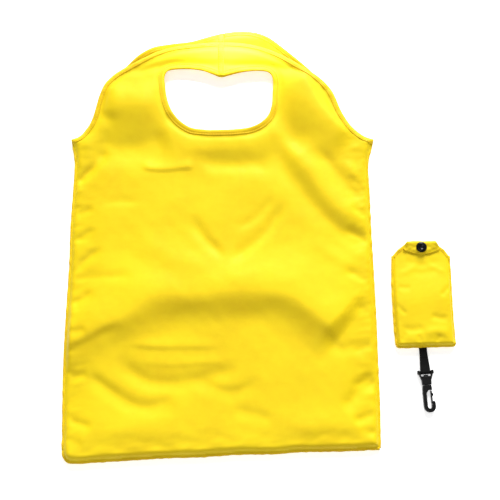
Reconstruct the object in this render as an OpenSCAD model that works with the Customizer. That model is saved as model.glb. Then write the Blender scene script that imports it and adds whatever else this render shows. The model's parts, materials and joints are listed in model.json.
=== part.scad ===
// Foldable tote bag of thin nylon, lying flat beside its storage pouch.
// The pouch closes with a press stud and hangs from a webbing strap with a swivel snap hook.
// Units are millimetres. +Z is up, and the set rests on Z = 0.
// The origin is the middle of the set's footprint.

/* [Bag] */
// Width of the bag body between its side seams' outer edges
bag_w = 358; // [340:1:380]
// Whole length of the bag, from the bottom edge to the top of the back handle
bag_len = 520; // [500:1:540]
// Length of the body, from the bottom edge to the line where the handles turn
body_len = 378; // [360:1:390]
// Length of the lower part that folds over the upper part
lower_len = 172.5; // [150:0.5:180]
// Height of the bag as it lies flat with air in it
bag_t = 12; // [11:0.5:16]
// Thickness of each layer of cloth
cloth = 1; // [0.8:0.1:1.2]
// Width of the side seams and of the bottom seam
seam_w = 4; // [3:0.5:6]
// How far the armhole corners stand out past the side seams
wing = 2.5; // [1:0.5:5]

/* [Handles] */
// How far each armhole cuts in from its corner
arm_in = 35; // [30:1:40]
// Height of the armhole's curve
arm_rise = 47; // [40:1:52]
// Height of the front handle above the armholes
front_rise = 75.5; // [70:0.5:80]
// Half the width of the hand hole at its middle
hole_half_w = 62; // [55:1:66]
// Depth of the hand hole's round bottom
hole_depth = 40.5; // [38:0.5:44]
// Radius of the hand hole's upper corners
hole_corner_r = 12; // [8:1:14]
// How far the handle band dips at its centre seam
hole_dip = 9; // [0:0.5:12]
// Width of the hems along the armholes and the handles
arm_hem = 6; // [4:0.5:7]
// Width of the hem around the hand hole
neck_hem = 7; // [4:0.5:7]
// Width of the felled seam in the middle of each handle
centre_seam_w = 7; // [5:0.5:9]

/* [Pouch] */
// Width of the pouch
pouch_w = 67; // [62:1:72]
// Length of the pouch from its bottom seam to its shoulders
pouch_len = 106; // [98:1:112]
// Height of the slanted shoulders up to the flap's fold
shoulder_h = 17; // [15:1:20]
// Width of the flap at its fold
fold_w = 29; // [25:1:33]
// Width of the flap at its widest
flap_w = 42; // [36:1:46]
// Length of the flap from its fold to its tip
flap_len = 15.5; // [14:0.5:18]
// Height of the stuffed pouch
pouch_t = 10; // [9:0.5:12]
// Height of the pouch at its mouth
mouth_t = 6.4; // [6.2:0.1:7]
// Clear distance between the bag and the pouch
set_gap = 18; // [16:1:30]

/* [Snap] */
// Diameter of the press stud's cap
snap_d = 12.5; // [11:0.5:14]
// Height of the cap
snap_h = 2.4; // [2:0.1:3]
// Diameter of the stud's post
post_d = 3.6; // [3:0.1:4]

/* [Strap and hook] */
// Width of the webbing
strap_w = 10; // [9:0.5:11]
// Distance from the pouch to the middle of the hook's crossbar
strap_len = 29; // [25:0.5:34]
// Thickness of one layer of webbing
strap_t = 1; // [0.8:0.1:1.2]
// Lean of the strap and the hook
hang_tilt = 4; // [0:1:6]
// Width of the swivel eye over the ends of its crossbar
eye_w = 18.5; // [17:0.5:20]
// Thickness of the swivel eye
eye_t = 5.6; // [5.6:0.1:6]
// Diameter of the crossbar
bar_d = 2.4; // [2:0.1:2.6]
// Length from the crossbar to the bottom of the hook
hook_len = 45.5; // [44:0.5:48]
// Thickness of the hook
hook_t = 5.2; // [4.8:0.1:5.4]
// Radius inside the hook's bowl
bowl_r = 2.4; // [2.3:0.1:2.5]
// Width of the hook's stock
stock_w = 4.2; // [4:0.1:4.4]
// How far the bowl's middle is to the gate's side of the stem
bowl_x = 0.9; // [0.7:0.1:1]

/* [Hidden] */
$fn = 48;

yellow = [0.95, 0.85, 0.14];
seam_yellow = [0.86, 0.72, 0.1];
black = [0.06, 0.06, 0.065];

// Places of the bag and the pouch in the set
set_w = bag_w + 2 * wing + set_gap + pouch_w;
bag_x = -set_w / 2 + wing + bag_w / 2;
pouch_x = set_w / 2 - pouch_w / 2;
bottom_y = -bag_len / 2;
fold_y = bottom_y + lower_len;
handle_y = bottom_y + body_len;
front_z = bag_t - cloth;
seam_half = bag_w / 2;
wing_half = bag_w / 2 + wing;
wing_drop = 20;

// Handles, measured from the bag's centre line
arch_y = handle_y + arm_rise;
arch_half = wing_half - arm_in;
back_rise = bag_len / 2 - arch_y;
hole_y = arch_y + 3;
hole_top_half = hole_half_w + 4;
hole_top_y = hole_y + 36.5;
seam_lift = 0.8;

// Pouch
pouch_bottom_y = -130.5;
shoulder_y = pouch_bottom_y + pouch_len;
fold_top_y = shoulder_y + shoulder_h;
pouch_seam_w = 3;
ramp_y = shoulder_y - 25;
flap_lift = 2.6;
flap_z = mouth_t + flap_lift;
snap_y = fold_top_y - 7.5;
mouth_y = fold_top_y - 2.5;
disc_t = 0.6;
socket_h = 1.6;

// Strap and hook, measured from the middle of the crossbar
hang_z = eye_t / 2;
root_gap = 1.6;
root_x = pouch_x - 1.5;
root_y = pouch_bottom_y - root_gap;
bar_clear = 0.3;
lug_d = 4.8;
lug_w = 2.6;
loop_r = bar_d / 2 + bar_clear + strap_t;
window_y = -4.6;
boss_y = -14.5;
boss_w = 10.5;
stem_d = 4;
swivel_clear = 0.06;
bowl_y = -hook_len + bowl_r + stock_w;
collar_y = boss_y - 0.3;
throat_y = -20.5;
gate_w = 1.6;
gate_x = bowl_x + bowl_r + 0.6;
gate_y = throat_y - 1.3;
nose_y = bowl_y + 6.2;
notch_y = bowl_y + 2.4;

// ---------- Shared shapes ----------

module layer(z, t) {
    translate([0, 0, z]) linear_extrude(t) children();
}

module at_bag() {
    translate([bag_x, 0, 0]) children();
}

module at_pouch() {
    translate([pouch_x, 0, 0]) children();
}

// Places children at the strap's root, with the strap running towards -Y
module at_strap() {
    translate([root_x, root_y, hang_z]) rotate([0, 0, hang_tilt]) children();
}

// Places children at the crossbar
module at_bar() {
    at_strap() translate([0, root_gap - strap_len, 0]) children();
}

module box_between(x0, x1, y0, y1) {
    translate([x0, y0]) square([x1 - x0, y1 - y0]);
}

// Extrudes an outline drawn in Y and Z to a width along X, centred on X = 0
module across(w) {
    translate([-w / 2, 0, 0]) rotate([90, 0, 90]) linear_extrude(w) children();
}

function arc(cx, cy, rx, ry, a0, a1, n) =
    [for (i = [0 : n]) let (a = a0 + (a1 - a0) * i / n) [cx + rx * cos(a), cy + ry * sin(a)]];

// The same points on the other side of the centre line, without those that lie on it
function flip_x(points) =
    [for (i = [len(points) - 1 : -1 : 0]) if (points[i][0] > 0.01) [-points[i][0], points[i][1]]];

// Right half of a handle's outer edge: the armhole's hollow curve, then the arch
function handle_edge(rise, inset) = concat(
    arc(wing_half, arch_y, arm_in + inset, arm_rise + inset, 270, 180, 14),
    [for (p = arc(0, arch_y, arch_half - inset, rise - inset, 0, 90, 24)) if (p[1] > arch_y + 1) p]
);

module handle_outline(rise, inset) {
    edge = handle_edge(rise, inset);
    polygon(concat(edge, flip_x(edge)));
}

// The hand hole: a round bottom, rounded upper corners and a dip in the middle of its upper edge
module hole_outline(grow) {
    side = concat(
        arc(0, hole_y, hole_half_w + grow, hole_depth + grow, 270, 360, 16),
        arc(hole_top_half - hole_corner_r, hole_top_y - hole_corner_r,
            hole_corner_r + grow, hole_corner_r + grow, 0, 90, 8),
        [[0, hole_top_y - hole_dip + grow]]
    );
    polygon(concat(side, flip_x(side)));
}

// The half of the handle on one side of the centre line, above the line where it turns
module handle_side(side) {
    box_between(side > 0 ? 0 : -wing_half - 1, side > 0 ? wing_half + 1 : 0, handle_y, bag_len);
}

// ---------- Bag body ----------

module panel(z, y0, y1) {
    color(yellow) at_bag() layer(z, cloth) box_between(seam_w - seam_half, seam_half - seam_w, y0, y1);
}

module front_panel_upper() { panel(front_z, fold_y, handle_y); }

module front_panel_lower() { panel(front_z, bottom_y + seam_w, fold_y); }

module back_panel_upper() { panel(0, fold_y, handle_y); }

module back_panel_lower() { panel(0, bottom_y + seam_w, fold_y); }

// A side seam that ends in the pointed corner of the armhole
module side_seam_upper(side) {
    color(seam_yellow) at_bag() layer(0, bag_t) polygon([
        [side * (seam_half - seam_w), fold_y],
        [side * seam_half, fold_y],
        [side * seam_half, handle_y - wing_drop],
        [side * wing_half, handle_y],
        [side * (seam_half - seam_w), handle_y]
    ]);
}

module side_seam_lower(side) {
    x = side > 0 ? seam_half - seam_w : -seam_half;
    color(seam_yellow) at_bag() layer(0, bag_t) box_between(x, x + seam_w, bottom_y + seam_w, fold_y);
}

module side_seam_left_upper() { side_seam_upper(-1); }

module side_seam_right_upper() { side_seam_upper(1); }

module side_seam_left_lower() { side_seam_lower(-1); }

module side_seam_right_lower() { side_seam_lower(1); }

module bottom_seam() {
    color(seam_yellow) at_bag() layer(0, bag_t)
        box_between(-seam_half, seam_half, bottom_y, bottom_y + seam_w);
}

// ---------- Handles ----------

module handle_half(side, rise, z) {
    color(yellow) at_bag() layer(z, cloth) difference() {
        intersection() {
            handle_outline(rise, arm_hem);
            handle_side(side);
        }
        hole_outline(neck_hem);
    }
}

module armhole_hem(side, rise, z) {
    color(seam_yellow) at_bag() layer(z, cloth) intersection() {
        difference() {
            handle_outline(rise, 0);
            handle_outline(rise, arm_hem);
        }
        handle_side(side);
    }
}

module hole_hem(z) {
    color(seam_yellow) at_bag() layer(z, cloth) difference() {
        hole_outline(neck_hem);
        hole_outline(0);
    }
}

// The felled seam that joins a handle's two halves, lying on their upper face
module handle_seam(rise, z) {
    color(seam_yellow) at_bag() layer(z + cloth, seam_lift)
        box_between(-centre_seam_w / 2, centre_seam_w / 2,
            hole_top_y - hole_dip + 1, arch_y + rise - 1);
}

module front_handle_left() { handle_half(-1, front_rise, front_z); }

module front_handle_right() { handle_half(1, front_rise, front_z); }

module front_handle_seam() { handle_seam(front_rise, front_z); }

module front_neck_hem() { hole_hem(front_z); }

module front_armhole_hem_left() { armhole_hem(-1, front_rise, front_z); }

module front_armhole_hem_right() { armhole_hem(1, front_rise, front_z); }

module back_handle_left() { handle_half(-1, back_rise, 0); }

module back_handle_right() { handle_half(1, back_rise, 0); }

module back_handle_seam() { handle_seam(back_rise, 0); }

module back_neck_hem() { hole_hem(0); }

module back_armhole_hem_left() { armhole_hem(-1, back_rise, 0); }

module back_armhole_hem_right() { armhole_hem(1, back_rise, 0); }

// ---------- Pouch ----------

// Straight sides up to the shoulders, then slants that narrow to the flap's fold
module pouch_outline(top_y, inset) {
    half = pouch_w / 2;
    slope = (half - fold_w / 2) / shoulder_h;
    polygon([
        [-half, pouch_bottom_y],
        [half, pouch_bottom_y],
        [half, shoulder_y - inset],
        [half - slope * (top_y - shoulder_y), top_y - inset],
        [slope * (top_y - shoulder_y) - half, top_y - inset],
        [-half, shoulder_y - inset]
    ]);
}

module pouch_inner(top_y, inset) {
    intersection() {
        pouch_outline(top_y, inset);
        box_between(pouch_seam_w - pouch_w / 2, pouch_w / 2 - pouch_seam_w,
            pouch_bottom_y + pouch_seam_w, fold_top_y);
    }
}

// The front's height along Y: full over the body, then down a ramp to the mouth
function front_line(drop) = [
    [pouch_bottom_y, pouch_t - drop],
    [ramp_y, pouch_t - drop],
    [shoulder_y, mouth_t - drop],
    [fold_top_y, mouth_t - drop]
];

function backwards(points) = [for (i = [len(points) - 1 : -1 : 0]) points[i]];

module front_sheet() {
    across(pouch_w) polygon(concat(front_line(0), backwards(front_line(cloth))));
}

module pouch_front_panel() {
    color(yellow) at_pouch() intersection() {
        front_sheet();
        layer(0, pouch_t) pouch_inner(mouth_y, pouch_seam_w);
    }
}

module pouch_mouth_hem() {
    color(seam_yellow) at_pouch() intersection() {
        front_sheet();
        layer(0, pouch_t) difference() {
            pouch_inner(mouth_y, 0);
            pouch_inner(mouth_y, pouch_seam_w);
        }
    }
}

module pouch_back_panel() {
    color(yellow) at_pouch() layer(0, cloth) pouch_inner(fold_top_y - cloth, 0);
}

module pouch_side_seam(side) {
    x = side > 0 ? pouch_w / 2 - pouch_seam_w : -pouch_w / 2;
    color(seam_yellow) at_pouch() intersection() {
        across(pouch_w) polygon(concat(front_line(0), [[fold_top_y, 0], [pouch_bottom_y, 0]]));
        layer(0, pouch_t) box_between(x, x + pouch_seam_w, pouch_bottom_y + pouch_seam_w, shoulder_y);
    }
}

module pouch_seam_left() { pouch_side_seam(-1); }

module pouch_seam_right() { pouch_side_seam(1); }

module pouch_seam_bottom() {
    color(seam_yellow) at_pouch() layer(0, pouch_t)
        box_between(-pouch_w / 2, pouch_w / 2, pouch_bottom_y, pouch_bottom_y + pouch_seam_w);
}

// Where the back panel turns up into the flap
module pouch_flap_fold() {
    color(yellow) at_pouch() layer(0, flap_z + cloth)
        box_between(-fold_w / 2, fold_w / 2, fold_top_y - cloth, fold_top_y);
}

module pouch_flap() {
    y = fold_top_y - cloth;
    tip_y = fold_top_y - flap_len;
    wide_y = y - 8.5;
    color(yellow) at_pouch() layer(flap_z, cloth) polygon([
        [fold_w / 2, y],
        [-fold_w / 2, y],
        [-flap_w / 2, wide_y],
        [-flap_w / 2 + 3, wide_y - 2],
        [-6, tip_y + 0.8],
        [0, tip_y],
        [6, tip_y + 0.8],
        [flap_w / 2 - 3, wide_y - 2],
        [flap_w / 2, wide_y]
    ]);
}

// ---------- Snap ----------

module at_snap(z) {
    translate([pouch_x, snap_y, z]) children();
}

module snap_cap() {
    color(black) at_snap(flap_z + cloth) rotate_extrude() polygon([
        [0, 0],
        [snap_d / 2, 0],
        [snap_d / 2, snap_h * 0.45],
        [snap_d / 2 - 0.6, snap_h * 0.8],
        [snap_d / 2 - 1.6, snap_h],
        [0, snap_h]
    ]);
}

module snap_socket() {
    color(black) at_snap(flap_z - socket_h) difference() {
        cylinder(d = post_d + 5.4, h = socket_h);
        translate([0, 0, -1]) cylinder(d = post_d + 1.4, h = socket_h + 2);
    }
}

module snap_stud() {
    color(black) at_snap(mouth_t) union() {
        cylinder(d = post_d + 4.4, h = disc_t);
        cylinder(d = post_d, h = disc_t + 1.4);
    }
}

module snap_stud_base() {
    color(black) at_snap(mouth_t - cloth - disc_t) cylinder(d = post_d + 4.4, h = disc_t);
}

// ---------- Strap ----------

// One length of webbing that runs out to the crossbar, round it and back
module strap_webbing() {
    bar_y = root_gap - strap_len;
    sewn_y = -12;
    slit = 0.1;
    inner_r = loop_r - strap_t;
    color(black) at_strap() across(strap_w) difference() {
        polygon(concat(
            arc(0, 0, strap_t, strap_t, -90, 90, 10),
            arc(bar_y, 0, loop_r, loop_r, 90, 270, 20)
        ));
        polygon(concat(
            [[sewn_y, -slit], [sewn_y, slit]],
            arc(bar_y, 0, inner_r, inner_r, 90, 270, 20)
        ));
    }
}

// The bar of stitches that closes the loop, on top of the webbing
module strap_tack() {
    tack_y = 10.2;
    tack_len = 1.6;
    tack_t = 0.6;
    slope = (loop_r - strap_t) / (strap_len - root_gap);
    lift = strap_t + (tack_y + tack_len / 2) * slope + tack_t / 2;
    color(black) at_strap() translate([0, -tack_y, lift]) cube([strap_w - 2, tack_len, tack_t], center = true);
}

// ---------- Hook ----------

module crossbar() {
    translate([-eye_w / 2, 0, 0]) rotate([0, 90, 0]) cylinder(d = bar_d, h = eye_w);
}

// A round lug at each end of the crossbar
module lugs() {
    for (side = [-1, 1])
        translate([side * (eye_w - lug_w) / 2, 0, 0]) rotate([0, 90, 0])
            cylinder(d = lug_d, h = lug_w, center = true);
}

// Points a cylinder's length towards -Y, starting at a height along the hook
module down_from(y) {
    translate([0, y, 0]) rotate([90, 0, 0]) children();
}

// A crossbar, two arms and a boss that the hook turns in
module hook_eye() {
    arm_w = 2.2;
    window_half = strap_w / 2 + 0.8;
    color(black) at_bar() difference() {
        union() {
            crossbar();
            lugs();
            layer(-eye_t / 2, eye_t) polygon([
                [window_half + arm_w, 1.4],
                [window_half + arm_w, -2],
                [boss_w / 2, boss_y + 5],
                [boss_w / 2, boss_y],
                [-boss_w / 2, boss_y],
                [-boss_w / 2, boss_y + 5],
                [-window_half - arm_w, -2],
                [-window_half - arm_w, 1.4]
            ]);
        }
        difference() {
            layer(-eye_t, 2 * eye_t) box_between(-window_half, window_half, window_y, 3);
            crossbar();
        }
        down_from(window_y + 1) cylinder(d = stem_d + 2 * swivel_clear, h = window_y - boss_y + 2);
    }
}

// A stem with a retaining head, a collar, and a flat J with a notched nose
module hook_body() {
    head_y = window_y + 1.5;
    outer_r = bowl_r + stock_w;
    shoulder_x = gate_x + 1.2;
    color(black) at_bar() union() {
        down_from(head_y) cylinder(d = stem_d + 1.4, h = 1.4);
        down_from(head_y) cylinder(d = stem_d, h = head_y - collar_y + 0.5);
        down_from(collar_y) cylinder(d = hook_t, h = 2);
        layer(-hook_t / 2, hook_t) difference() {
            union() {
                polygon([
                    [-4.6, collar_y],
                    [4.6, collar_y],
                    [shoulder_x, throat_y + 2],
                    [shoulder_x, throat_y],
                    [bowl_x, throat_y],
                    [bowl_x - bowl_r, throat_y - 3.5],
                    [bowl_x - bowl_r, bowl_y],
                    [bowl_x - outer_r, bowl_y],
                    [bowl_x - outer_r, throat_y - 4],
                    [-5.2, collar_y - 2]
                ]);
                translate([bowl_x, bowl_y]) intersection() {
                    circle(r = outer_r);
                    box_between(-outer_r, outer_r, -outer_r, 0);
                }
                polygon([
                    [bowl_x + bowl_r, bowl_y],
                    [bowl_x + bowl_r, notch_y],
                    [gate_x + gate_w / 2 + 0.2, notch_y],
                    [gate_x + gate_w / 2 + 0.2, nose_y - 0.8],
                    [gate_x + gate_w / 2 + 1, nose_y],
                    [bowl_x + outer_r - 0.8, nose_y - 0.6],
                    [bowl_x + outer_r, nose_y - 2.5],
                    [bowl_x + outer_r, bowl_y]
                ]);
            }
            translate([bowl_x, bowl_y]) circle(r = bowl_r);
        }
    }
}

// A springy tongue with a thumb bump, closing on the nose's notch
module hook_gate() {
    gate_t = 3.4;
    half = gate_w / 2;
    tip_y = notch_y - gate_y + 0.3;
    color(black) at_bar() layer(-gate_t / 2, gate_t) translate([gate_x, gate_y]) polygon(concat(
        arc(0, 0, half, half, 0, 180, 10),
        [[-half, tip_y], [half, tip_y], [half, -6.2], [half + 1.4, -4.6], [half + 1.2, -2.6], [half, -1.6]]
    ));
}

front_panel_upper();
front_panel_lower();
back_panel_upper();
back_panel_lower();
side_seam_left_upper();
side_seam_right_upper();
side_seam_left_lower();
side_seam_right_lower();
bottom_seam();
front_handle_left();
front_handle_right();
front_handle_seam();
front_neck_hem();
front_armhole_hem_left();
front_armhole_hem_right();
back_handle_left();
back_handle_right();
back_handle_seam();
back_neck_hem();
back_armhole_hem_left();
back_armhole_hem_right();
pouch_front_panel();
pouch_back_panel();
pouch_seam_left();
pouch_seam_right();
pouch_seam_bottom();
pouch_mouth_hem();
pouch_flap_fold();
pouch_flap();
snap_cap();
snap_socket();
snap_stud();
snap_stud_base();
strap_webbing();
strap_tack();
hook_eye();
hook_body();
hook_gate();
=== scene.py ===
"""Looks of the foldable tote bag and its storage pouch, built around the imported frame.

Lengths in this script are millimetres until a mesh is made. The bag's own coordinates are X from its
centre line and Y as in the frame; the pouch's are X from its centre line and Y as in the frame.
"""

import json
import math

import bmesh
import bpy
import numpy as np
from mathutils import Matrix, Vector, geometry


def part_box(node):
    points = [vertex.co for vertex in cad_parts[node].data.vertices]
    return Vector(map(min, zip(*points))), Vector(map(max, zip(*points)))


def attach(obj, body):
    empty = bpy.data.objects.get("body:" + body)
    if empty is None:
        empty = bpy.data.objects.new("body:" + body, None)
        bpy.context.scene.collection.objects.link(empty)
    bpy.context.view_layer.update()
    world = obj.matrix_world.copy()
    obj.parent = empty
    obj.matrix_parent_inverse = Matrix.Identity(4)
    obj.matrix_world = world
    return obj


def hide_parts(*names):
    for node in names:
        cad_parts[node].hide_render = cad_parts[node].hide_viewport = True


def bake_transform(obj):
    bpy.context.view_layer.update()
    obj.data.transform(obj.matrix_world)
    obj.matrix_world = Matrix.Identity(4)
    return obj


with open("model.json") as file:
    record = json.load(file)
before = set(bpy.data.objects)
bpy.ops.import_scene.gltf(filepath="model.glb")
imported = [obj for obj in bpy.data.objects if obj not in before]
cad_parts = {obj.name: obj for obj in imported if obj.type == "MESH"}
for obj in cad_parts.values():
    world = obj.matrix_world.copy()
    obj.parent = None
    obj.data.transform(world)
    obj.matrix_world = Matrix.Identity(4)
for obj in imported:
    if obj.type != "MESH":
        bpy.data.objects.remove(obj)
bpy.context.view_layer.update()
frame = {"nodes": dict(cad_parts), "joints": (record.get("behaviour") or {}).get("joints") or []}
MM = 0.001
scene = bpy.context.scene


# ---------- Places, from the frame ----------


def node_box(node):
    """A CAD node's lowest and highest corners, in millimetres."""
    low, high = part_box(node)
    return np.array(low) / MM, np.array(high) / MM


def node_middle(node):
    low, high = node_box(node)
    return (low + high) / 2


bag_low, bag_high = node_box("bottom_seam")
BAG_X = (bag_low[0] + bag_high[0]) / 2
BAG_HALF = (bag_high[0] - bag_low[0]) / 2
BAG_BOTTOM = bag_low[1]
BAG_TOP = node_box("back_armhole_hem_left")[1][1]
FRONT_TOP = node_box("front_armhole_hem_left")[1][1]
TURN_Y = node_box("front_panel_upper")[1][1]
pouch_low, pouch_high = node_box("pouch_seam_bottom")
POUCH_X = (pouch_low[0] + pouch_high[0]) / 2
POUCH_BOTTOM = pouch_low[1]
SHOULDER_Y = node_box("pouch_seam_left")[1][1]
FLAP_FOLD_Y = node_box("pouch_flap_fold")[1][1]
SNAP = node_middle("snap_cap")
SNAP_LOW, SNAP_HIGH = node_box("snap_cap")
PART_Y = 20.0  # where the upper and the lower sheet of a face meet
BOTTOM_ROW = BAG_BOTTOM + 13

# Spacing of each sheet's mesh, and of its stitches
FRONT_STEP, BACK_STEP, POUCH_STEP, POUCH_BACK_STEP = 2.6, 4.0, 1.4, 2.2
PITCH, FINE_PITCH = 3.2, 2.6
FINE = (1.7, 0.35)  # length and thickness of the pouch's stitches


# ---------- Camera, floor and lights ----------


def look_at(obj, eye, target):
    obj.location = eye
    obj.rotation_euler = (Vector(target) - Vector(eye)).to_track_quat("-Z", "Y").to_euler()


def make_camera():
    data = bpy.data.cameras.new("camera")
    camera = bpy.data.objects.new("camera", data)
    scene.collection.objects.link(camera)
    data.sensor_width = 36
    data.lens = 67.69
    distance = 1.10
    tilt = math.radians(78)
    target = Vector((-0.0094, -0.0175, 0.006))
    eye = target + distance * Vector((0, -math.cos(tilt), math.sin(tilt)))
    look_at(camera, eye, target)
    data.clip_start, data.clip_end = 0.01, 20
    scene.camera = camera


def make_light(name, eye, size, power, target=(-0.01, 0, 0), spread=180):
    data = bpy.data.lights.new(name, "AREA")
    data.shape = "DISK"
    data.size = size
    data.energy = power
    data.spread = math.radians(spread)
    light = bpy.data.objects.new(name, data)
    scene.collection.objects.link(light)
    look_at(light, eye, target)


def make_floor():
    size = 4.0
    mesh = bpy.data.meshes.new("floor")
    mesh.from_pydata(
        [(-size, -size, 0), (size, -size, 0), (size, size, 0), (-size, size, 0)], [], [(0, 1, 2, 3)]
    )
    floor = bpy.data.objects.new("floor", mesh)
    scene.collection.objects.link(floor)
    material = bpy.data.materials.new("floor")
    material.use_nodes = True
    shader = material.node_tree.nodes["Principled BSDF"]
    shader.inputs["Base Color"].default_value = (0.95, 0.95, 0.95, 1)
    shader.inputs["Emission Color"].default_value = (1, 1, 1, 1)
    shader.inputs["Emission Strength"].default_value = 0.46
    shader.inputs["Roughness"].default_value = 0.85
    mesh.materials.append(material)


def make_world():
    """A white studio that lights the object with less than the white that the camera sees."""
    light, seen = 0.30, 1.0
    world = bpy.data.worlds.new("studio")
    world.use_nodes = True
    tree = world.node_tree
    back = tree.nodes["Background"]
    back.inputs["Color"].default_value = (1, 1, 1, 1)
    rays = tree.nodes.new("ShaderNodeLightPath")
    strength = tree.nodes.new("ShaderNodeMath")
    strength.operation = "MULTIPLY_ADD"
    strength.inputs[1].default_value = seen - light
    strength.inputs[2].default_value = light
    tree.links.new(rays.outputs["Is Camera Ray"], strength.inputs[0])
    tree.links.new(strength.outputs[0], back.inputs["Strength"])
    scene.world = world


make_camera()
make_floor()
make_world()
make_light("key", (0.70, 4.40, 2.30), 2.6, 440)
make_light("fill", (-0.10, -0.40, 1.3), 1.0, 5)
make_light("rim", (-0.03, 0.40, 0.20), 0.10, 0.21, target=(-0.035, 0.262, 0.005), spread=34)
scene.view_settings.view_transform = "Standard"


# ---------- Materials ----------


class Nodes:
    """A short way to build a material's nodes."""

    def __init__(self, name):
        self.material = bpy.data.materials.new(name)
        self.material.use_nodes = True
        self.tree = self.material.node_tree
        self.shader = self.tree.nodes["Principled BSDF"]
        self.where = self.tree.nodes.new("ShaderNodeTexCoord").outputs["Object"]

    def add(self, kind, links=(), **values):
        node = self.tree.nodes.new("ShaderNode" + kind)
        for key, value in values.items():
            if key in node.inputs.keys():
                node.inputs[key].default_value = value
            else:
                setattr(node, key, value)
        for key, output in dict(links).items():
            self.tree.links.new(output, node.inputs[key])
        return node

    def set(self, **values):
        for key, value in values.items():
            self.shader.inputs[key.replace("_", " ")].default_value = value

    def link(self, output, key):
        self.tree.links.new(output, self.shader.inputs[key])

    def noise(self, size, detail=3.0, roughness=0.55, stretch=(1, 1, 1)):
        """Noise whose features are about size millimetres across."""
        scale = 1000.0 / size
        place = self.add("Mapping", {"Vector": self.where})
        place.inputs["Scale"].default_value = [scale * s for s in stretch]
        return self.add(
            "TexNoise", {"Vector": place.outputs[0]}, Scale=1.0, Detail=detail, Roughness=roughness
        ).outputs["Fac"]

    def bands(self, pitch, direction):
        """Straight ribs with that pitch in millimetres."""
        scale = 2 * math.pi * 1000.0 / pitch / 20.0
        return self.add(
            "TexWave", {"Vector": self.where}, wave_type="BANDS", bands_direction=direction, Scale=scale
        ).outputs["Fac"]

    def mix(self, a, b, fac):
        """A mix of two numbers or sockets."""
        node = self.tree.nodes.new("ShaderNodeMix")
        for index, value in ((2, a), (3, b), (0, fac)):
            if isinstance(value, (int, float)):
                node.inputs[index].default_value = value
            else:
                self.tree.links.new(value, node.inputs[index])
        return node.outputs[0]

    def ramp(self, fac, stops):
        node = self.add("ValToRGB", {"Fac": fac})
        while len(node.color_ramp.elements) < len(stops):
            node.color_ramp.elements.new(0.5)
        for element, (place, color) in zip(node.color_ramp.elements, stops):
            element.position = place
            element.color = (*color, 1)
        return node.outputs["Color"]

    def bump(self, height, strength, distance):
        node = self.add("Bump", {"Height": height}, Strength=strength, Distance=distance * MM)
        self.link(node.outputs["Normal"], "Normal")


def nylon(name, dark, middle, light, weave_strength=0.22):
    """Plain-weave nylon taffeta: fine threads both ways, slubs, and a colour that drifts a little."""
    m = Nodes(name)
    drift = m.mix(m.noise(70, 2), m.noise(9, 3), 0.35)
    m.link(m.ramp(drift, [(0.3, dark), (0.52, middle), (0.75, light)]), "Base Color")
    weave = m.mix(m.bands(0.9, "X"), m.bands(0.9, "Y"), 0.5)
    slubs = m.mix(m.noise(1.4, 2, 0.6, (1, 0.12, 1)), m.noise(1.4, 2, 0.6, (0.12, 1, 1)), 0.5)
    cloth = m.mix(weave, slubs, 0.55)
    m.bump(m.mix(cloth, m.noise(6, 3), 0.45), weave_strength, 0.5)
    m.link(m.ramp(slubs, [(0.3, (0.5,) * 3), (0.7, (0.66,) * 3)]), "Roughness")
    m.set(Sheen_Weight=0.04, Sheen_Roughness=0.4, Specular_IOR_Level=0.2)
    return m.material


def plastic(name, base, roughness, grain):
    """Moulded black plastic with a faint grain and scuffs."""
    m = Nodes(name)
    low, high = base
    m.link(m.ramp(m.noise(7, 4), [(0.35, (low,) * 3), (0.7, (high,) * 3)]), "Base Color")
    scuffs = m.mix(m.noise(2.5, 5, 0.7), m.noise(0.7, 2), 0.3)
    m.link(m.ramp(scuffs, [(0.35, (roughness,) * 3), (0.75, (roughness + 0.2,) * 3)]), "Roughness")
    m.bump(m.noise(0.5, 2), grain, 0.1)
    m.set(Specular_IOR_Level=0.2)
    return m.material


def woven_black(name):
    """Black polypropylene webbing: threads that catch the light."""
    m = Nodes(name)
    threads = m.mix(m.bands(0.8, "X"), m.noise(0.6, 2), 0.5)
    m.link(m.ramp(threads, [(0.25, (0.001,) * 3), (0.8, (0.008,) * 3)]), "Base Color")
    m.link(m.ramp(threads, [(0.2, (0.7,) * 3), (0.8, (0.5,) * 3)]), "Roughness")
    m.bump(threads, 0.5, 0.25)
    m.set(Specular_IOR_Level=0.1)
    return m.material


YELLOW = nylon("nylon", (0.78, 0.545, 0.003), (0.82, 0.60, 0.004), (0.85, 0.64, 0.005))
SEAM_YELLOW = nylon("seam_nylon", (0.74, 0.47, 0.003), (0.79, 0.54, 0.004), (0.82, 0.58, 0.005), 0.3)
THREAD = nylon("yellow_thread", (0.52, 0.30, 0.005), (0.60, 0.37, 0.007), (0.68, 0.44, 0.01), 0.1)
WEBBING = woven_black("webbing")
BLACK_THREAD = woven_black("black_thread")
SNAP_BLACK = plastic("snap_plastic", (0.001, 0.003), 0.16, 0.05)
HOOK_BLACK = plastic("hook_plastic", (0.001, 0.004), 0.30, 0.12)


# ---------- Lines and relief ----------


def smooth(t):
    t = np.clip(t, 0, 1)
    return t * t * (3 - 2 * t)


def distances(points):
    """How far along the line each of its points is, by the first two coordinates."""
    return np.concatenate([[0], np.cumsum(np.hypot(*np.diff(points[:, :2], axis=0).T))])


def resample(points, step):
    """The line's points, evenly spaced about step apart, with its ends kept."""
    points = np.asarray(points, float)
    along = distances(points)
    count = max(2, int(round(along[-1] / step)) + 1)
    places = np.linspace(0, along[-1], count)
    return np.stack([np.interp(places, along, points[:, k]) for k in range(points.shape[1])], 1)


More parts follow.
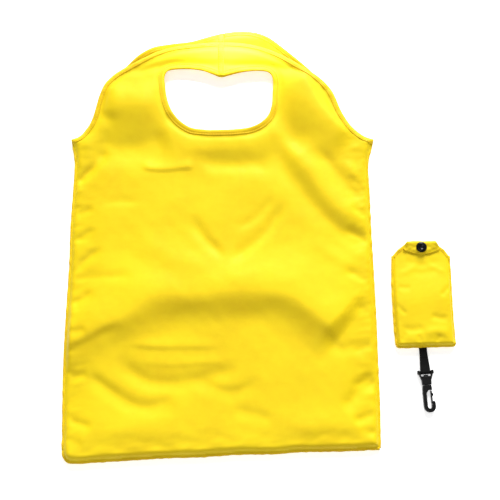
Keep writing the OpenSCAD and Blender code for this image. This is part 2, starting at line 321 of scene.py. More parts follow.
def spline(knots, step=2.0, closed=False):
    """A smooth line through the knots."""
    p = np.asarray(knots, float)
    if closed:
        p = np.vstack([p[-1], p, p[0], p[1]])
    else:
        p = np.vstack([2 * p[0] - p[1], p, 2 * p[-1] - p[-2]])
    t = np.linspace(0, 1, 16, endpoint=False)[:, None]
    out = []
    for a, b, c, d in zip(p[:-3], p[1:-2], p[2:-1], p[3:]):
        curve = 2 * b + (c - a) * t + (2 * a - 5 * b + 4 * c - d) * t**2
        out.append(0.5 * (curve + (3 * b - a - 3 * c + d) * t**3))
    out.append(p[-2][None])
    line = resample(np.vstack(out), step)
    return line[:-1] if closed else line


def near(p, line):
    """Distance from a line, which side of it, and how far along it, 0 to 1, for each point."""
    a, step = line[:-1], np.diff(line, axis=0)
    out = []
    for part in np.array_split(p, max(1, len(p) * len(a) // 3000000 + 1)):
        t = ((part[:, None] - a) * step).sum(-1) / (step**2).sum(-1)
        t = np.clip(t, 0, 1)
        gap = part[:, None] - (a + t[..., None] * step)
        square = (gap**2).sum(-1)
        k = square.argmin(1)
        rows = np.arange(len(part))
        side = step[k, 0] * (part[:, 1] - a[k, 1]) - step[k, 1] * (part[:, 0] - a[k, 0])
        out.append(np.stack([np.sqrt(square[rows, k]), np.sign(side), (k + t[rows, k]) / len(a)], 1))
    return np.vstack(out).T


def closed_line(line):
    return np.vstack([line, line[:1]])


def inside(p, loop):
    """True for each point inside a closed outline."""
    out = np.zeros(len(p), bool)
    for (x0, y0), (x1, y1) in zip(loop, np.roll(loop, -1, axis=0)):
        if y0 != y1:
            crosses = (p[:, 1] > min(y0, y1)) & (p[:, 1] <= max(y0, y1))
            out ^= crosses & (p[:, 0] < x0 + (p[:, 1] - y0) / (y1 - y0) * (x1 - x0))
    return out


def ripples(p, length, seed, count=9):
    """Smooth random relief, about -1 to 1, with waves about that long."""
    rng = np.random.default_rng(seed)
    total = np.zeros(len(p))
    for _ in range(count):
        turn = rng.uniform(0, 2 * math.pi)
        pace = 2 * math.pi / (length * rng.uniform(0.7, 1.5))
        total += np.sin(pace * (p @ [math.cos(turn), math.sin(turn)]) + rng.uniform(0, 6.3))
    return total / math.sqrt(count)


def fold(p, knots, height, left, right, fade=0.25):
    """A ridge, or with a negative height a valley, along a smooth line. left and right are its widths
    on the two sides of the line, and it fades out over that share of its length at each end."""
    away, side, along = near(p, spline(knots, 6))
    width = np.where(side > 0, left, right)
    ends = smooth(along / fade) * smooth((1 - along) / fade)
    return height * np.exp(-((away / width) ** 2)) * ends


class Surface:
    """Heights over X and Y, kept on a grid of points, so that pieces that lie on it can read them."""

    def __init__(self, height, low, high, step, seam=None):
        self.low, self.step, self.seam = np.array(low, float), step, seam
        self.shape = [int((b - a) / step) + 2 for a, b in zip(low, high)]
        grid = np.meshgrid(*[np.arange(n) for n in self.shape], indexing="ij")
        points = np.stack(grid, -1).reshape(-1, 2) * step + self.low
        self.heights = height(points).reshape(self.shape)
        self.slopes = np.gradient(self.heights, step)

    def read(self, values, p):
        at = (p - self.low) / self.step
        at = np.clip(at, 0, np.array(self.shape) - 1.001)
        i, f = at.astype(int), at - at.astype(int)
        (x, y), (u, v) = i.T, f.T
        return (
            values[x, y] * (1 - u) * (1 - v)
            + values[x + 1, y] * u * (1 - v)
            + values[x, y + 1] * (1 - u) * v
            + values[x + 1, y + 1] * u * v
        )

    def z(self, p):
        return self.read(self.heights, p)

    def sheet_z(self, p):
        """Heights for a sheet, with its edge brought to the seam that holds it."""
        z = self.z(p)
        return z if self.seam is None else self.seam(p, z)

    def normal(self, p):
        n = np.stack([-self.read(self.slopes[0], p), -self.read(self.slopes[1], p), np.ones(len(p))], 1)
        return n / np.linalg.norm(n, axis=1)[:, None]


# ---------- Mesh makers ----------


def make_object(name, points, faces, material, x0=0.0, normals=None):
    """A smooth mesh from points in millimetres, moved by x0 along X."""
    points = (np.asarray(points, float) + [x0, 0, 0]) * MM
    mesh = bpy.data.meshes.new(name)
    mesh.from_pydata(points.tolist(), [], [tuple(int(i) for i in f) for f in faces])
    mesh.polygons.foreach_set("use_smooth", [True] * len(mesh.polygons))
    mesh.materials.append(material)
    mesh.update()
    if normals is not None:
        mesh.normals_split_custom_set_from_vertices(np.asarray(normals, float).tolist())
    obj = bpy.data.objects.new(name, mesh)
    scene.collection.objects.link(obj)
    return obj


def triangles(outline, holes, step):
    """Points and triangles that fill an outline around its holes."""
    low, high = outline.min(0), outline.max(0)
    rows = np.arange(low[1], high[1], step * 0.866)
    lattice = []
    for k, y in enumerate(rows):
        x = np.arange(low[0] + (k % 2) * step / 2, high[0], step)
        lattice.append(np.stack([x, np.full(len(x), y)], 1))
    lattice = np.vstack(lattice)
    keep = inside(lattice, outline) & (near(lattice, closed_line(outline))[0] > 0.55 * step)
    for hole in holes:
        keep &= ~inside(lattice, hole) & (near(lattice, closed_line(hole))[0] > 0.55 * step)
    loops = [outline, *holes]
    points = np.vstack([*loops, lattice[keep]])
    edges, first = [], 0
    for loop in loops:
        count = len(loop)
        edges += [(first + i, first + (i + 1) % count) for i in range(count)]
        first += count
    made = geometry.delaunay_2d_cdt([Vector(p) for p in points.tolist()], edges, [], 1, 1e-4)
    flat = np.array([tuple(v) for v in made[0]])
    tris = np.array([f for f in made[2] if len(f) == 3])
    middles = flat[tris].mean(1)
    good = inside(middles, outline)
    for hole in holes:
        good &= ~inside(middles, hole)
    tris = tris[good]
    a, b, c = (flat[tris[:, k]] for k in range(3))
    turn = (b - a)[:, 0] * (c - a)[:, 1] - (b - a)[:, 1] * (c - a)[:, 0]
    tris[turn < 0] = tris[turn < 0][:, ::-1]
    used = np.unique(tris)
    renumber = np.zeros(len(flat), int)
    renumber[used] = np.arange(len(used))
    return flat[used], renumber[tris]


def border(tris):
    """The directed edges that only one triangle has."""
    edges = np.vstack([tris[:, [0, 1]], tris[:, [1, 2]], tris[:, [2, 0]]])
    known = {tuple(e) for e in edges.tolist()}
    return [(a, b) for a, b in known if (b, a) not in known]


def cloth(name, outline, holes, step, surface, material, x0, thick=0.3):
    """A closed thin sheet of cloth that lies on a surface."""
    flat, tris = triangles(outline, holes, step)
    middle = np.column_stack([flat, surface.sheet_z(flat)])
    normal = surface.normal(flat)
    count = len(flat)
    points = np.vstack([middle + normal * thick / 2, middle - normal * thick / 2])
    faces = tris.tolist() + (tris[:, ::-1] + count).tolist()
    faces += [(b, a, a + count, b + count) for a, b in border(tris)]
    return make_object(name, points, faces, material, x0, np.vstack([normal, -normal]))


def side_normals(line, closed):
    """A unit step to the left of the line at each of its points."""
    if closed:
        run = np.roll(line, -1, axis=0) - np.roll(line, 1, axis=0)
    else:
        run = np.gradient(line, axis=0)
    run = run[:, :2] / np.hypot(run[:, 0], run[:, 1])[:, None]
    return np.stack([-run[:, 1], run[:, 0]], 1)


def tube(name, rings, material, x0, closed=False):
    """A mesh through rings of points. rings is an array of places, points and XYZ."""
    places, count = rings.shape[:2]
    faces = []
    last = places if closed else places - 1
    for i in range(last):
        j = (i + 1) % places
        for k in range(count):
            m = (k + 1) % count
            faces.append((i * count + k, j * count + k, j * count + m, i * count + m))
    if not closed:
        faces.append(tuple(range(count)))
        faces.append(tuple(reversed(range((places - 1) * count, places * count))))
    obj = make_object(name, rings.reshape(-1, 3), faces, material, x0)
    fix_normals(obj)
    return obj


def fix_normals(obj):
    b = bmesh.new()
    b.from_mesh(obj.data)
    bmesh.ops.recalc_face_normals(b, faces=b.faces)
    b.to_mesh(obj.data)
    b.free()


# Cross-section of a turned hem: distance in from the edge, as a share of its width, and height
HEM = [(-0.10, 0.15), (-0.04, 0.95), (0.08, 1.45), (0.25, 1.45), (0.42, 1.3), (0.56, 1.0), (0.70, 0.25),
       (0.84, 0.95), (0.95, 0.8), (1.0, 0.0), (0.6, -0.3), (0.2, -0.35), (-0.04, -0.3)]


def hem(name, line, width, surface, side, material, x0, seed, closed=False, lift=1.0):
    """A turned hem along an edge of a sheet, with the small puckers that its stitches draw in."""
    out = side_normals(line, closed) * side
    along = distances(line)
    rng = np.random.default_rng(seed)
    total = along[-1] + 1.0
    pucker = sum(
        np.sin(2 * math.pi * round(total / rng.uniform(7, 17)) * along / total + rng.uniform(0, 6.3))
        for _ in range(4)
    ) / 2.0
    rings = []
    for t, h in HEM:
        flat = line + out * t * width
        raised = h * lift * (1 + 0.22 * pucker * (0.1 < t < 0.99))
        rings.append(np.column_stack([flat, surface.z(flat) + raised]))
    return tube(name, np.stack(rings, 1), material, x0, closed)


def stitches(name, places, ahead, material, x0, length=2.1, thick=0.5):
    """Short threads, each at a place and pointing ahead."""
    sides = 5
    turns = np.arange(sides) * 2 * math.pi / sides
    ends = [(-0.5, 0.35, -0.45), (-0.3, 1.0, 0.0), (0.3, 1.0, 0.0), (0.5, 0.35, -0.45)]
    points, faces = [], []
    for place, run in zip(places, ahead):
        run = run / np.linalg.norm(run)
        across = np.cross([0, 0, 1.0], run)
        across /= np.linalg.norm(across)
        up = np.cross(run, across)
        first = len(points)
        for along, wide, sink in ends:
            centre = place + run * along * length + up * sink * thick
            for turn in turns:
                points.append(centre + (across * math.cos(turn) + up * math.sin(turn)) * wide * thick / 2)
        for k in range(len(ends) - 1):
            for m in range(sides):
                a, b = first + k * sides + m, first + k * sides + (m + 1) % sides
                faces.append((a, b, b + sides, a + sides))
        faces.append(tuple(first + m for m in reversed(range(sides))))
        faces.append(tuple(first + (len(ends) - 1) * sides + m for m in range(sides)))
    obj = make_object(name, points, faces, material, x0)
    fix_normals(obj)
    return obj


def stitch_row(line, offset, surface, side, lift, pitch, closed=False):
    """Places and directions of a row of stitches, offset to one side of a line on a surface."""
    flat = line + side_normals(line, closed) * side * offset
    if closed:
        flat = closed_line(flat)
    flat = resample(flat, pitch / 2)[::2]
    whole = np.column_stack([flat, surface.z(flat) + lift])
    ahead = np.gradient(whole, axis=0)
    return whole, ahead


def assign(obj, body, slot, *nodes):
    """Says which body a piece rides on, and hides the CAD nodes it stands for. slot is not used."""
    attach(obj, body)
    if nodes:
        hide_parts(*nodes)
    return obj


def joined_rows(rows):
    return np.vstack([r[0] for r in rows]), np.vstack([r[1] for r in rows])


def welt(name, line, width, height, material, x0, seed, taper=(0.0, 0.0)):
    """The rolled edge of a seam. line has X, Y and the height of its middle."""
    out = side_normals(line, False)
    along = distances(line)
    rng = np.random.default_rng(seed)
    total = along[-1]
    wave = sum(
        np.sin(2 * math.pi * along / rng.uniform(8, 22) + rng.uniform(0, 6.3)) for _ in range(5)
    ) / 3.0
    size = 1 + 0.16 * wave
    for end, away in zip(taper, (along, total - along)):
        if end:
            size = size * (0.25 + 0.75 * smooth(away / end))
    rings = []
    for turn in np.arange(10) * 2 * math.pi / 10:
        c, s = math.cos(turn), math.sin(turn)
        flat = line[:, :2] + out * (width / 2 * size * c)[:, None]
        rings.append(np.column_stack([flat, line[:, 2] + height / 2 * size * s + 0.25 * wave * s]))
    return tube(name, np.stack(rings, 1), material, x0)


# ---------- Bag: outlines ----------

WING = (BAG_HALF + 2.5, TURN_Y)
LEFT_SIDE = spline(
    [(-WING[0], WING[1]), (-178.5, 108), (-176, 97), (-175, 82), (-175.8, 50), (-177, 10), (-176.8, -35),
     (-178.2, -90), (-179, -140), (-178.3, -190), (-177.2, -225), (-176.8, BOTTOM_ROW)], 1.0)
RIGHT_SIDE = spline(
    [(WING[0], WING[1]), (178, 108), (174.5, 97), (172.8, 82), (173.8, 50), (174.6, 5), (176, -40),
     (177.6, -95), (178.2, -140), (179, -190), (178.8, -225), (178.6, BAG_BOTTOM + 15.5)], 1.0)
BOTTOM = spline(
    [(-176.8, BOTTOM_ROW), (-175.8, -252.5), (-172.5, -257.5), (-165, BAG_BOTTOM), (-140, -258.6),
     (-112, -257), (-60, -253.8), (-23, -252.8), (20, -250), (60, -249.4), (89, -247.2), (134, -246.4),
     (178.6, BAG_BOTTOM + 15.5)], 2.5)


def side_x(side, y):
    return np.interp(-y, -side[:, 1], side[:, 0])


def side_points(side, top, bottom, step):
    y = np.linspace(top, bottom, int(round((top - bottom) / step)) + 1)
    return np.column_stack([side_x(side, y), y])


LEFT_FOOT = [(-WING[0], WING[1]), (-172, 121.5), (-164.5, 129), (-158.5, 138), (-154.5, 148), (-151.5, 160),
             (-148.5, 172), (-142.5, 187)]
RIGHT_FOOT = [(122.5, 190), (131.5, 178.5), (136.8, 167), (140.5, 157), (145.5, 147), (153, 136),
              (162, 127.5), (171, 121.5), (WING[0], WING[1])]
FRONT_EDGE = spline(
    LEFT_FOOT + [(-131.5, 199), (-116, 209.5), (-96, 221), (-78, 229.5), (-58, 235.5), (-28, 239.5),
                 (-2, FRONT_TOP + 0.5), (26, 239.5), (48, 234.5), (70, 225.5), (94, 211.5), (111, 200)]
    + RIGHT_FOOT, 2.5)
BACK_EDGE = spline(
    LEFT_FOOT + [(-132, 200), (-116.5, 214), (-101, 228.5), (-83, 238.5), (-59, 243), (-40, 245.5),
                 (-22, 250.5), (-1, 256), (20, BAG_TOP - 1), (40, 257), (55, 251), (70, 240), (84, 228.5),
                 (99, 215), (112, 202)] + RIGHT_FOOT, 2.5)
HOLE_KNOTS = [(-2, 127.5), (-20, 127.8), (-38, 131), (-52, 140), (-62, 153), (-67.5, 168), (-70, 184),
              (-70.8, 195), (-67, 203), (-57, 206), (-40, 206.3), (-24, 203.8), (-11, 199),
              (-2, 195.8), (8, 198.6), (22, 202), (38, 203.8), (52, 203.2), (59.5, 198), (61.5, 188),
              (60.8, 175), (60.2, 162), (56, 148), (46.5, 137.5), (33, 131), (16, 128.2)]
FRONT_HOLE = spline(HOLE_KNOTS, 2.5, closed=True)
BACK_HOLE = spline(
    [(x * 1.03, y + 4.5 * smooth((y - 150) / 40) - 0.5) for x, y in HOLE_KNOTS], 2.5, closed=True
)


def body_outline(edge, top, bottom, step):
    """The bag's outline between two heights; above the turn line it goes round the handle."""
    left = side_points(LEFT_SIDE, min(top, TURN_Y), max(bottom, BOTTOM_ROW), step)
    right = side_points(RIGHT_SIDE, min(top, TURN_Y), max(bottom, RIGHT_SIDE[-1, 1]), step)[::-1]
    parts = [left[:-1]]
    if bottom < BOTTOM_ROW:
        parts.append(resample(BOTTOM, step)[:-1])
    else:
        parts.append(across_row(bottom, step)[:-1])
    parts.append(right[:-1])
    if top > TURN_Y:
        parts.append(resample(edge, step)[::-1][:-1])
    else:
        parts.append(across_row(top, step)[::-1][:-1])
    return np.vstack(parts)


def across_row(y, step):
    x0, x1 = side_x(LEFT_SIDE, np.array([y]))[0], side_x(RIGHT_SIDE, np.array([y]))[0]
    x = np.linspace(x0, x1, int(round((x1 - x0) / step)) + 1)
    return np.column_stack([x, np.full(len(x), y)])


# ---------- Bag: relief ----------

# Folds of the front: the line, the height, and the widths on the line's left and right sides
FOLDS = [
    # the broad arch across the middle, gentle above and steep below
    ([(-200, -138), (-178, -129), (-146, -113), (-119, -98), (-91, -81), (-60, -71.5), (-19, -68.5),
      (39, -67), (76, -72), (102, -86), (124, -107), (140, -120)], 8.8, 42, 21, 0.06),
    ([(-190, -142), (-165, -133), (-140, -121), (-112, -106)], -1.6, 5, 7, 0.25),
    ([(110, -106), (124, -122), (136, -134), (152, -131), (176, -122)], -1.3, 6, 8, 0.25),
    # the V above it
    ([(-36, 26), (-26, 6), (-10, -14), (6, -30)], -1.9, 6, 7, 0.3),
    ([(4, -31), (16, -28), (34, -13), (57, 13), (80, 42)], -2.2, 8, 6, 0.25),
    ([(14, 0), (40, 22), (66, 48)], -1.0, 6, 5, 0.3),
    ([(-106, -3), (-75, -20), (-40, -34), (-5, -42)], 1.2, 12, 12, 0.3),
    # right-hand diagonals from the handle's foot to the side
    ([(74, 124), (86, 100), (102, 76), (121, 52), (146, 28), (178, 10)], 3.6, 15, 13, 0.24),
    ([(62, 128), (72, 84), (92, 52), (120, 22), (150, 0), (182, -20)], -2.2, 12, 12, 0.15),
    ([(112, 112), (126, 88), (142, 66), (160, 48), (176, 38)], -2.2, 8, 9, 0.25),
    ([(146, 96), (156, 72), (168, 56)], 1.4, 6, 6, 0.3),
    ([(92, 214), (106, 176), (124, 144), (156, 112)], 5.2, 10, 24, 0.2),
    ([(62, 204), (66, 166), (74, 138), (100, 100)], -3.2, 14, 12, 0.2),
    # left-hand foot of the handle
    ([(-150, 168), (-122, 164), (-94, 160), (-68, 152)], 6.2, 24, 22, 0.38),
    ([(-160, 106), (-124, 106), (-90, 108), (-60, 120)], -3.6, 18, 20, 0.2),
    ([(-172, 100), (-160, 112), (-150, 128), (-143, 150)], 1.8, 8, 10, 0.3),
    ([(-180, 62), (-162, 76), (-146, 92), (-136, 106)], -2.2, 7, 8, 0.2),
    # hollows at the hand hole's lower corners
    ([(-68, 154), (-58, 138), (-42, 128), (-24, 123)], -1.6, 6, 8, 0.3),
    ([(60, 158), (56, 140), (42, 128), (22, 122)], -1.8, 8, 6, 0.3),
    # crisp crease and the soft valley under the hand hole
    ([(-98, 82), (-68, 80.5), (-30, 81.5)], 1.5, 9, 2.4, 0.15),
    ([(-34, 92), (9, 87), (47, 85), (70, 80)], -2.6, 14, 11, 0.25),
    ([(-60, 110), (0, 106), (50, 110)], 1.2, 12, 10, 0.3),
    # lower creases
    ([(-122, -138), (-112, -150), (-98, -162), (-78, -170), (-52, -174), (-18, -168), (27, -151)],
     -2.4, 9, 10, 0.2),
    ([(-158, -158), (-131, -178), (-108, -192), (-88, -199), (-68, -197), (-45, -189)], -2.4, 8, 10, 0.2),
    ([(-34, -168), (-6, -179), (20, -183), (50, -165)], -1.5, 7, 9, 0.3),
    ([(8, -201), (35, -208), (66, -212)], -1.2, 7, 8, 0.3),
    ([(136, -202), (155, -182), (182, -166)], -2.2, 8, 8, 0.25),
    ([(-118, -128), (-70, -131), (8, -129)], 1.1, 8, 3.5, 0.3),
    ([(-100, -148), (-50, -151), (14, -146)], 0.8, 8, 4, 0.3),
    ([(60, -226), (123, -222), (172, -216)], 1.6, 14, 9, 0.3),
    ([(-148, 37), (-120, 40), (-92, 38)], -0.8, 7, 4, 0.3),
    ([(-180, -50), (-147, -52), (-100, -51)], -1.0, 7, 5, 0.3),
    ([(-150, -232), (-90, -226), (-20, -232)], 1.2, 14, 10, 0.3),
    ([(96, -2), (126, -22), (160, -42)], 0.9, 9, 9, 0.3),
    # the handle's band
    ([(-122, 200), (-70, 211), (-3, 213), (64, 210), (108, 198)], -1.6, 4, 5, 0.12),
    ([(-112, 212), (-60, 227), (0, 231), (60, 225), (98, 205)], 1.7, 9, 10, 0.15),
    ([(-136, 192), (-130, 168), (-140, 140)], 2.0, 10, 12, 0.3),
]

# Short puckers that the side seams draw in: side, Y at the seam, how far in, rise, height
PUCKERS = [
    (-1, 57, 30, 32, -2.0), (-1, 20, 26, 14, -1.2), (-1, -12, 30, 20, -1.5), (-1, -49, 38, 36, -1.9),
    (-1, -87, 30, 20, -1.6), (-1, -118, 24, 8, -1.1), (-1, -169, 28, 8, -1.4), (-1, -213, 36, -9, -1.5),
    (-1, -236, 24, -4, -1.0), (1, 46, 28, 28, -1.6), (1, 16, 26, 20, -1.6), (1, -10, 34, 18, -1.8),
    (1, -59, 36, 18, -1.7), (1, -92, 24, 8, -1.1), (1, -128, 28, -10, -1.2), (1, -160, 30, -18, -1.5),
    (1, -205, 30, -12, -1.4), (1, -228, 22, 2, -1.0),
]


def dome(t, power=0.75):
    """0 at an edge, rising steeply and rounding off to 1."""
    return np.sin(np.clip(t, 0, 1) * math.pi / 2) ** power


front_ring = closed_line(body_outline(FRONT_EDGE, BAG_TOP, BAG_BOTTOM, 5.0))
back_ring = closed_line(body_outline(BACK_EDGE, BAG_TOP, BAG_BOTTOM, 5.0))


def seam_height(y):
    """Height of the seam's middle; the two layers part above the wings."""
    return 2.5 - 0.3 * smooth((y - 60) / 50)


def front_height(p):
    y = p[:, 1]
    edge = near(p, front_ring)[0]
    hole = near(p, closed_line(FRONT_HOLE))[0]
    above = smooth((y - 112) / 45)
    rim = seam_height(y) + (8.0 - seam_height(y)) * above
    top = 11.2 + 2.8 * smooth((y - 88) / 70) + 2.6 * smooth((-186 - y) / 62)
    bent = p + 1.3 * np.column_stack([ripples(p, 70, 11), ripples(p, 70, 12)])
    relief = sum(fold(bent, *f) for f in FOLDS)
    for side, y0, reach, rise, height in PUCKERS:
        x0 = side * (BAG_HALF - 3)
        line = [(x0, y0), (x0 - side * reach * 0.5, y0 + rise * 0.55), (x0 - side * reach, y0 + rise)]
        relief += fold(p, line, height, 4.5, 5.5, 0.35)
    relief += 0.42 * ripples(bent, 75, 5) + 0.07 * ripples(bent, 24, 6) + 0.02 * ripples(p, 9, 7)
    gather = np.exp(-edge / 13) * (1 - above)
    relief += gather * (0.5 * ripples(p * [0.45, 1], 13, 8) + 0.25 * ripples(p * [0.5, 1], 6, 9))
    sharp = 0.86 - 0.28 * smooth((y + 262) / 60)
    rise = sharp * dome(edge / 7.5) + (1 - sharp) * smooth((edge + 10) / 55)
    height = rim + (top - rim) * rise + relief * smooth(edge / 8)
    height -= 1.2 * np.exp(-((hole / 5) ** 2)) + 0.9 * np.exp(-(((hole - 8.5) / 2.5) ** 2))
    height -= 1.5 * above * np.exp(-(((edge - 8.5) / 2.6) ** 2))
    return np.clip(height, 2.6, 20.5)


def back_height(p):
    y = p[:, 1]
    edge = near(p, back_ring)[0]
    above = smooth((y - 112) / 45)
    rim = (seam_height(y) - 0.6) * (1 - above) + 1.2 * above
    flat = 0.35 + 0.25 * (1 + ripples(p, 60, 21)) + above * (0.9 + 0.7 * ripples(p, 50, 22))
    bumps = fold(p, [(-122, 212), (-101, 226), (-70, 236)], 2.2, 9, 9, 0.3)
    bumps += fold(p, [(-40, 240), (0, 249), (48, 249), (76, 230)], 2.8, 8, 8, 0.25)
    bumps += fold(p, [(-30, 246), (-14, 238), (-8, 226)], -1.4, 5, 5, 0.3)
    bumps += fold(p, [(52, 252), (46, 240), (48, 226)], -1.4, 5, 5, 0.3)
    height = rim + (flat - rim) * dome(edge / 12) + bumps * above
    return np.clip(height, 0.3, 7.0)


EDGE_REACH = 0.6  # points this near to the outline are on it
SEAM_TOP, SEAM_FADE = 92, 20
LAYER_LIFT = 0.2  # half the distance between the two layers in the seam


def held_by_seam(ring, middle, top, fade):
    """Brings a sheet's edge to the height of its seam's middle, and less and less above top."""

    def change(p, z):
        hold = (near(p, ring)[0] < EDGE_REACH) * (1 - smooth((p[:, 1] - top) / fade))
        return z + (middle(p[:, 1]) - z) * hold

    return change


AREA_LOW, AREA_HIGH = (-190, BAG_BOTTOM - 6), (190, BAG_TOP + 6)
FRONT = Surface(front_height, AREA_LOW, AREA_HIGH, 1.8,
                held_by_seam(front_ring, lambda y: seam_height(y) + LAYER_LIFT, SEAM_TOP, SEAM_FADE))
BACK = Surface(back_height, AREA_LOW, AREA_HIGH, 2.5,
               held_by_seam(back_ring, lambda y: seam_height(y) - LAYER_LIFT, SEAM_TOP, SEAM_FADE))


# ---------- Bag: pieces ----------


def bend_fold(obj):
    """Bakes a piece's placement into its mesh; nothing bends it where the lower part folds."""
    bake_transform(obj)


def bend_handle(obj):
    """Bakes a piece's placement into its mesh; nothing bends it where a handle turns up."""
    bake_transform(obj)


def bag_sheets(face, edge, hole, surface, step):
    lower = cloth(f"{face}_sheet_lower", body_outline(edge, PART_Y, BAG_BOTTOM, step), [], step,
                  surface, YELLOW, BAG_X)
    upper = cloth(f"{face}_sheet_upper", body_outline(edge, BAG_TOP, PART_Y, step), [hole], step,
                  surface, YELLOW, BAG_X)
    bend_fold(lower)
    bend_handle(upper)
    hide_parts(f"{face}_panel_lower")
    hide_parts(f"{face}_panel_upper", f"{face}_handle_left", f"{face}_handle_right")
    return lower, upper


def bag_hems(face, edge, hole, surface, seed):
    """The hems of one face's handle, the felled seam at its middle, and their stitches."""
    made = []
    half = len(edge) // 2
    neck = hem(f"{face}_neck_fold", hole, 6.5, surface, side_of_hole(hole), SEAM_YELLOW, BAG_X, seed, True)
    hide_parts(f"{face}_neck_hem")
    left = hem(f"{face}_armhole_fold_left", edge[: half + 1], 6.0, surface, -1, SEAM_YELLOW, BAG_X, seed + 1)
    right = hem(f"{face}_armhole_fold_right", edge[half:], 6.0, surface, -1, SEAM_YELLOW, BAG_X, seed + 2)
    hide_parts(f"{face}_armhole_hem_left")
    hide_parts(f"{face}_armhole_hem_right")
    made += [neck, left, right]
    rows = [
        stitch_row(hole, 4.85, surface, side_of_hole(hole), 0.62, PITCH, True),
        stitch_row(edge, 4.5, surface, -1, 0.62, PITCH),
    ]
    sewn = stitches(f"{face}_hem_stitches", *joined_rows(rows), THREAD, BAG_X)
    made.append(sewn)
    for piece in made:
        bend_handle(piece)
    dip = hole[hole_dip_index(hole)]
    peak = edge[np.abs(edge[:, 0] - dip[0]).argmin()]
    middle = resample(np.array([dip + [0, 0.6], peak - [0, 0.6]]), 2.0)
    felled = felled_seam(f"{face}_handle_fell", middle, 7.0, surface, seed + 3)
    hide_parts(f"{face}_handle_seam")
    rows = [stitch_row(middle, d, surface, 1, 1.75, PITCH) for d in (-2.3, 2.3)]
    fell_rows = stitches(f"{face}_fell_stitches", *joined_rows(rows), THREAD, BAG_X)
    for piece in (felled, fell_rows):
        assign(piece, f"{face}_handle", "seam_nylon")
    return [*made, felled, fell_rows]


def hole_dip_index(hole):
    top = np.where(hole[:, 1] > 190, np.abs(hole[:, 0] + 2), 1e9)
    return int(top.argmin())


def side_of_hole(hole):
    """The side of the line that the cloth is on: away from the hole's middle."""
    area = (hole[:, 0] * np.roll(hole[:, 1], -1) - np.roll(hole[:, 0], -1) * hole[:, 1]).sum()
    return -1 if area > 0 else 1


def felled_seam(name, line, width, surface, seed):
    """A flat-felled seam: a raised band, slightly puckered, over the hems."""
    shape = [(-0.5, 0.5), (-0.46, 1.3), (-0.3, 1.75), (-0.12, 1.6), (0, 1.75), (0.12, 1.6), (0.3, 1.75),
             (0.46, 1.3), (0.5, 0.5), (0.2, -0.2), (-0.2, -0.2)]
    out = side_normals(line, False)
    wave = ripples(line, 9, seed, 4)
    rings = []
    for t, h in shape:
        flat = line + out * t * width
        rings.append(np.column_stack([flat, surface.z(flat) + h + 0.15 * wave * (h > 1)]))
    return tube(name, np.stack(rings, 1), SEAM_YELLOW, BAG_X)


front_lower, front_upper = bag_sheets("front", FRONT_EDGE, FRONT_HOLE, FRONT, FRONT_STEP)
back_lower, back_upper = bag_sheets("back", BACK_EDGE, BACK_HOLE, BACK, BACK_STEP)
front_trim = bag_hems("front", FRONT_EDGE, FRONT_HOLE, FRONT, 31)
back_trim = bag_hems("back", BACK_EDGE, BACK_HOLE, BACK, 41)


def side_welt(name, side, nodes, seed):
    line = resample(side, 2.5)
    path = np.column_stack([line, seam_height(line[:, 1]) + 0.1 * ripples(line, 30, seed)])
    made = welt(name, path, 3.6, 3.6, SEAM_YELLOW, BAG_X, seed, taper=(14, 0))
    bend_fold(made)
    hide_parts(*nodes)
    return made


left_welt = side_welt("side_welt_left", LEFT_SIDE, ["side_seam_left_upper", "side_seam_left_lower"], 51)
right_welt = side_welt("side_welt_right", RIGHT_SIDE, ["side_seam_right_upper", "side_seam_right_lower"], 52)
bottom_path = np.column_stack([BOTTOM, np.full(len(BOTTOM), 2.5)])
bottom_welt = welt("bottom_welt", bottom_path, 3.8, 4.0, SEAM_YELLOW, BAG_X, 53)
assign(bottom_welt, "bag_lower", "seam_nylon", "bottom_seam")


# ---------- Pouch ----------

P_LEFT = [(-33.0, SHOULDER_Y), (-33.6, -40), (-34.2, -62), (-33.6, -90), (-32.8, -112),
          (-31.5, POUCH_BOTTOM + 2)]
P_RIGHT = [(32.6, SHOULDER_Y), (33.2, -45), (33.4, -70), (34.0, -100), (34.8, -118),
           (35.2, POUCH_BOTTOM + 3)]
P_BOTTOM = [(-31.5, POUCH_BOTTOM + 2), (-28, POUCH_BOTTOM - 0.3), (-12, POUCH_BOTTOM), (8, POUCH_BOTTOM + 0.6),
            (28, POUCH_BOTTOM + 1.2), (33.6, POUCH_BOTTOM + 1.4), (35.2, POUCH_BOTTOM + 3)]
MOUTH_HALF = 17.0
MOUTH_Y = FLAP_FOLD_Y - 2.5


def pouch_outline(top, step):
    """Sides, bottom, slanted shoulders and a straight top."""
    shoulders = [(32.6, SHOULDER_Y), (27, -17.5), (MOUTH_HALF, top), (-MOUTH_HALF, top), (-27, -17.5),
                 (-33.0, SHOULDER_Y)]
    parts = [spline(P_LEFT, step)[:-1], spline(P_BOTTOM, step)[:-1], spline(P_RIGHT[::-1], step)[:-1]]
    parts += [resample(np.array(shoulders, float), step)[:-1]]
    return np.vstack(parts)


